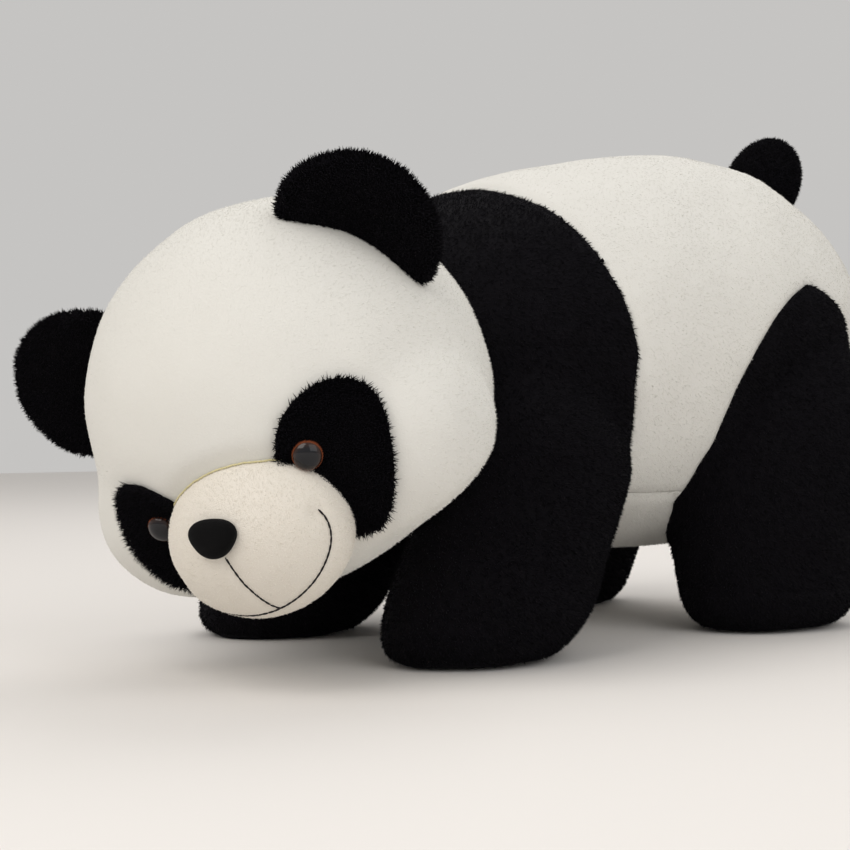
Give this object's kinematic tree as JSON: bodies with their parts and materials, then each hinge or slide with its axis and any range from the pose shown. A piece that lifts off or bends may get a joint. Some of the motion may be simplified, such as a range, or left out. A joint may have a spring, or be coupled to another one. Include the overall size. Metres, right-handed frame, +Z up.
{
  "type": "plush panda",
  "caption": "Large soft stuffed panda standing on all fours, head turned and tilted, with bendable neck, ears, legs and tail.",
  "frame": {"origin": "middle of the whole toy's footprint box, on the floor under the soles", "axes": "+Z up, -Y the way the body faces, +X the panda's own left side"},
  "size_m": [0.3698, 0.7472, 0.4064],
  "materials": {
    "white_plush": "short creamy white pile, matt",
    "black_plush": "short black pile with a soft sheen",
    "cream_plush": "very short smooth cream pile",
    "stuffing": "loose polyester fibre",
    "flock": "black velvet flock",
    "eye_plastic": "clear gloss over a brown rim and a black pupil",
    "washer_plastic": "natural moulded plastic",
    "black_thread": "twisted embroidery thread",
    "yellow_thread": "twisted sewing thread"
  },
  "bodies": {
    "torso": {"torso_skin": "white_plush", "shoulder_band": "black_plush", "belly_panel": "white_plush", "haunch_left": "black_plush", "haunch_right": "black_plush", "torso_stuffing": "stuffing"},
    "neck_ring": {"neck_collar": "black_plush"},
    "neck_core": {"neck_stuffing": "stuffing"},
    "head": {"head_skin": "white_plush", "head_stuffing": "stuffing", "muzzle_skin": "cream_plush", "muzzle_stuffing": "stuffing", "muzzle_seam_thread": "yellow_thread", "eye_patch_left": "black_plush", "eye_patch_right": "black_plush", "eye_left": "eye_plastic", "eye_right": "eye_plastic", "eye_washer_left": "washer_plastic", "eye_washer_right": "washer_plastic", "nose": "flock", "nose_washer": "washer_plastic", "mouth_thread": "black_thread"},
    "ear_left": {"ear_front_left": "black_plush", "ear_back_left": "black_plush", "ear_wadding_left": "stuffing"},
    "ear_right": {"ear_front_right": "black_plush", "ear_back_right": "black_plush", "ear_wadding_right": "stuffing"},
    "tail": {"tail_skin": "black_plush", "tail_stuffing": "stuffing"},
    "front_left_leg": {"front_left_leg_skin": "black_plush", "front_left_sole": "black_plush", "front_left_leg_stuffing": "stuffing"},
    "front_right_leg": {"front_right_leg_skin": "black_plush", "front_right_sole": "black_plush", "front_right_leg_stuffing": "stuffing"},
    "hind_left_leg": {"hind_left_leg_skin": "black_plush", "hind_left_sole": "black_plush", "hind_left_leg_stuffing": "stuffing"},
    "hind_right_leg": {"hind_right_leg_skin": "black_plush", "hind_right_sole": "black_plush", "hind_right_leg_stuffing": "stuffing"}
  },
  "joints": [
    {"name": "neck_turn", "type": "hinge", "parent": "torso", "child": "neck_ring", "pos_m": [0.02357, -0.1521, 0.18423], "axis": [0, 0, 1], "range_deg": [-8, 8], "stiffness_Nm_per_rad": 12},
    {"name": "neck_tilt", "type": "hinge", "parent": "neck_ring", "child": "neck_core", "pos_m": [0.02133, -0.1521, 0.18423], "axis": [0, 1, 0], "range_deg": [-8, 8], "stiffness_Nm_per_rad": 12},
    {"name": "neck_nod", "type": "hinge", "parent": "neck_core", "child": "head", "pos_m": [0.02133, -0.1521, 0.18423], "axis": [1, 0, 0], "range_deg": [-8, 4], "stiffness_Nm_per_rad": 18},
    {"name": "ear_left_fold", "type": "hinge", "parent": "head", "child": "ear_left", "pos_m": [0.1329, -0.25761, 0.26842], "axis": [0.6161, 0.6664, -0.42], "range_deg": [-14, 14], "stiffness_Nm_per_rad": 0.3},
    {"name": "ear_right_fold", "type": "hinge", "parent": "head", "child": "ear_right", "pos_m": [-0.04902, -0.32221, 0.18395], "axis": [0.3644, -0.3182, 0.8752], "range_deg": [-14, 14], "stiffness_Nm_per_rad": 0.3},
    {"name": "tail_wag", "type": "hinge", "parent": "torso", "child": "tail", "pos_m": [-0.00695, 0.29756, 0.338], "axis": [0, 0, 1], "range_deg": [-14, 14], "stiffness_Nm_per_rad": 0.4},
    {"name": "front_left_leg_swing", "type": "hinge", "parent": "torso", "child": "front_left_leg", "pos_m": [0.09705, -0.07484, 0.12], "axis": [1, 0, 0], "range_deg": [-8, 8], "stiffness_Nm_per_rad": 20},
    {"name": "front_right_leg_swing", "type": "hinge", "parent": "torso", "child": "front_right_leg", "pos_m": [-0.11095, -0.07484, 0.12], "axis": [1, 0, 0], "range_deg": [-8, 8], "stiffness_Nm_per_rad": 20},
    {"name": "hind_left_leg_swing", "type": "hinge", "parent": "torso", "child": "hind_left_leg", "pos_m": [0.10505, 0.17856, 0.13], "axis": [1, 0, 0], "range_deg": [-8, 8], "stiffness_Nm_per_rad": 20},
    {"name": "hind_right_leg_swing", "type": "hinge", "parent": "torso", "child": "hind_right_leg", "pos_m": [-0.11895, 0.17856, 0.13], "axis": [1, 0, 0], "range_deg": [-8, 8], "stiffness_Nm_per_rad": 20}
  ]
}
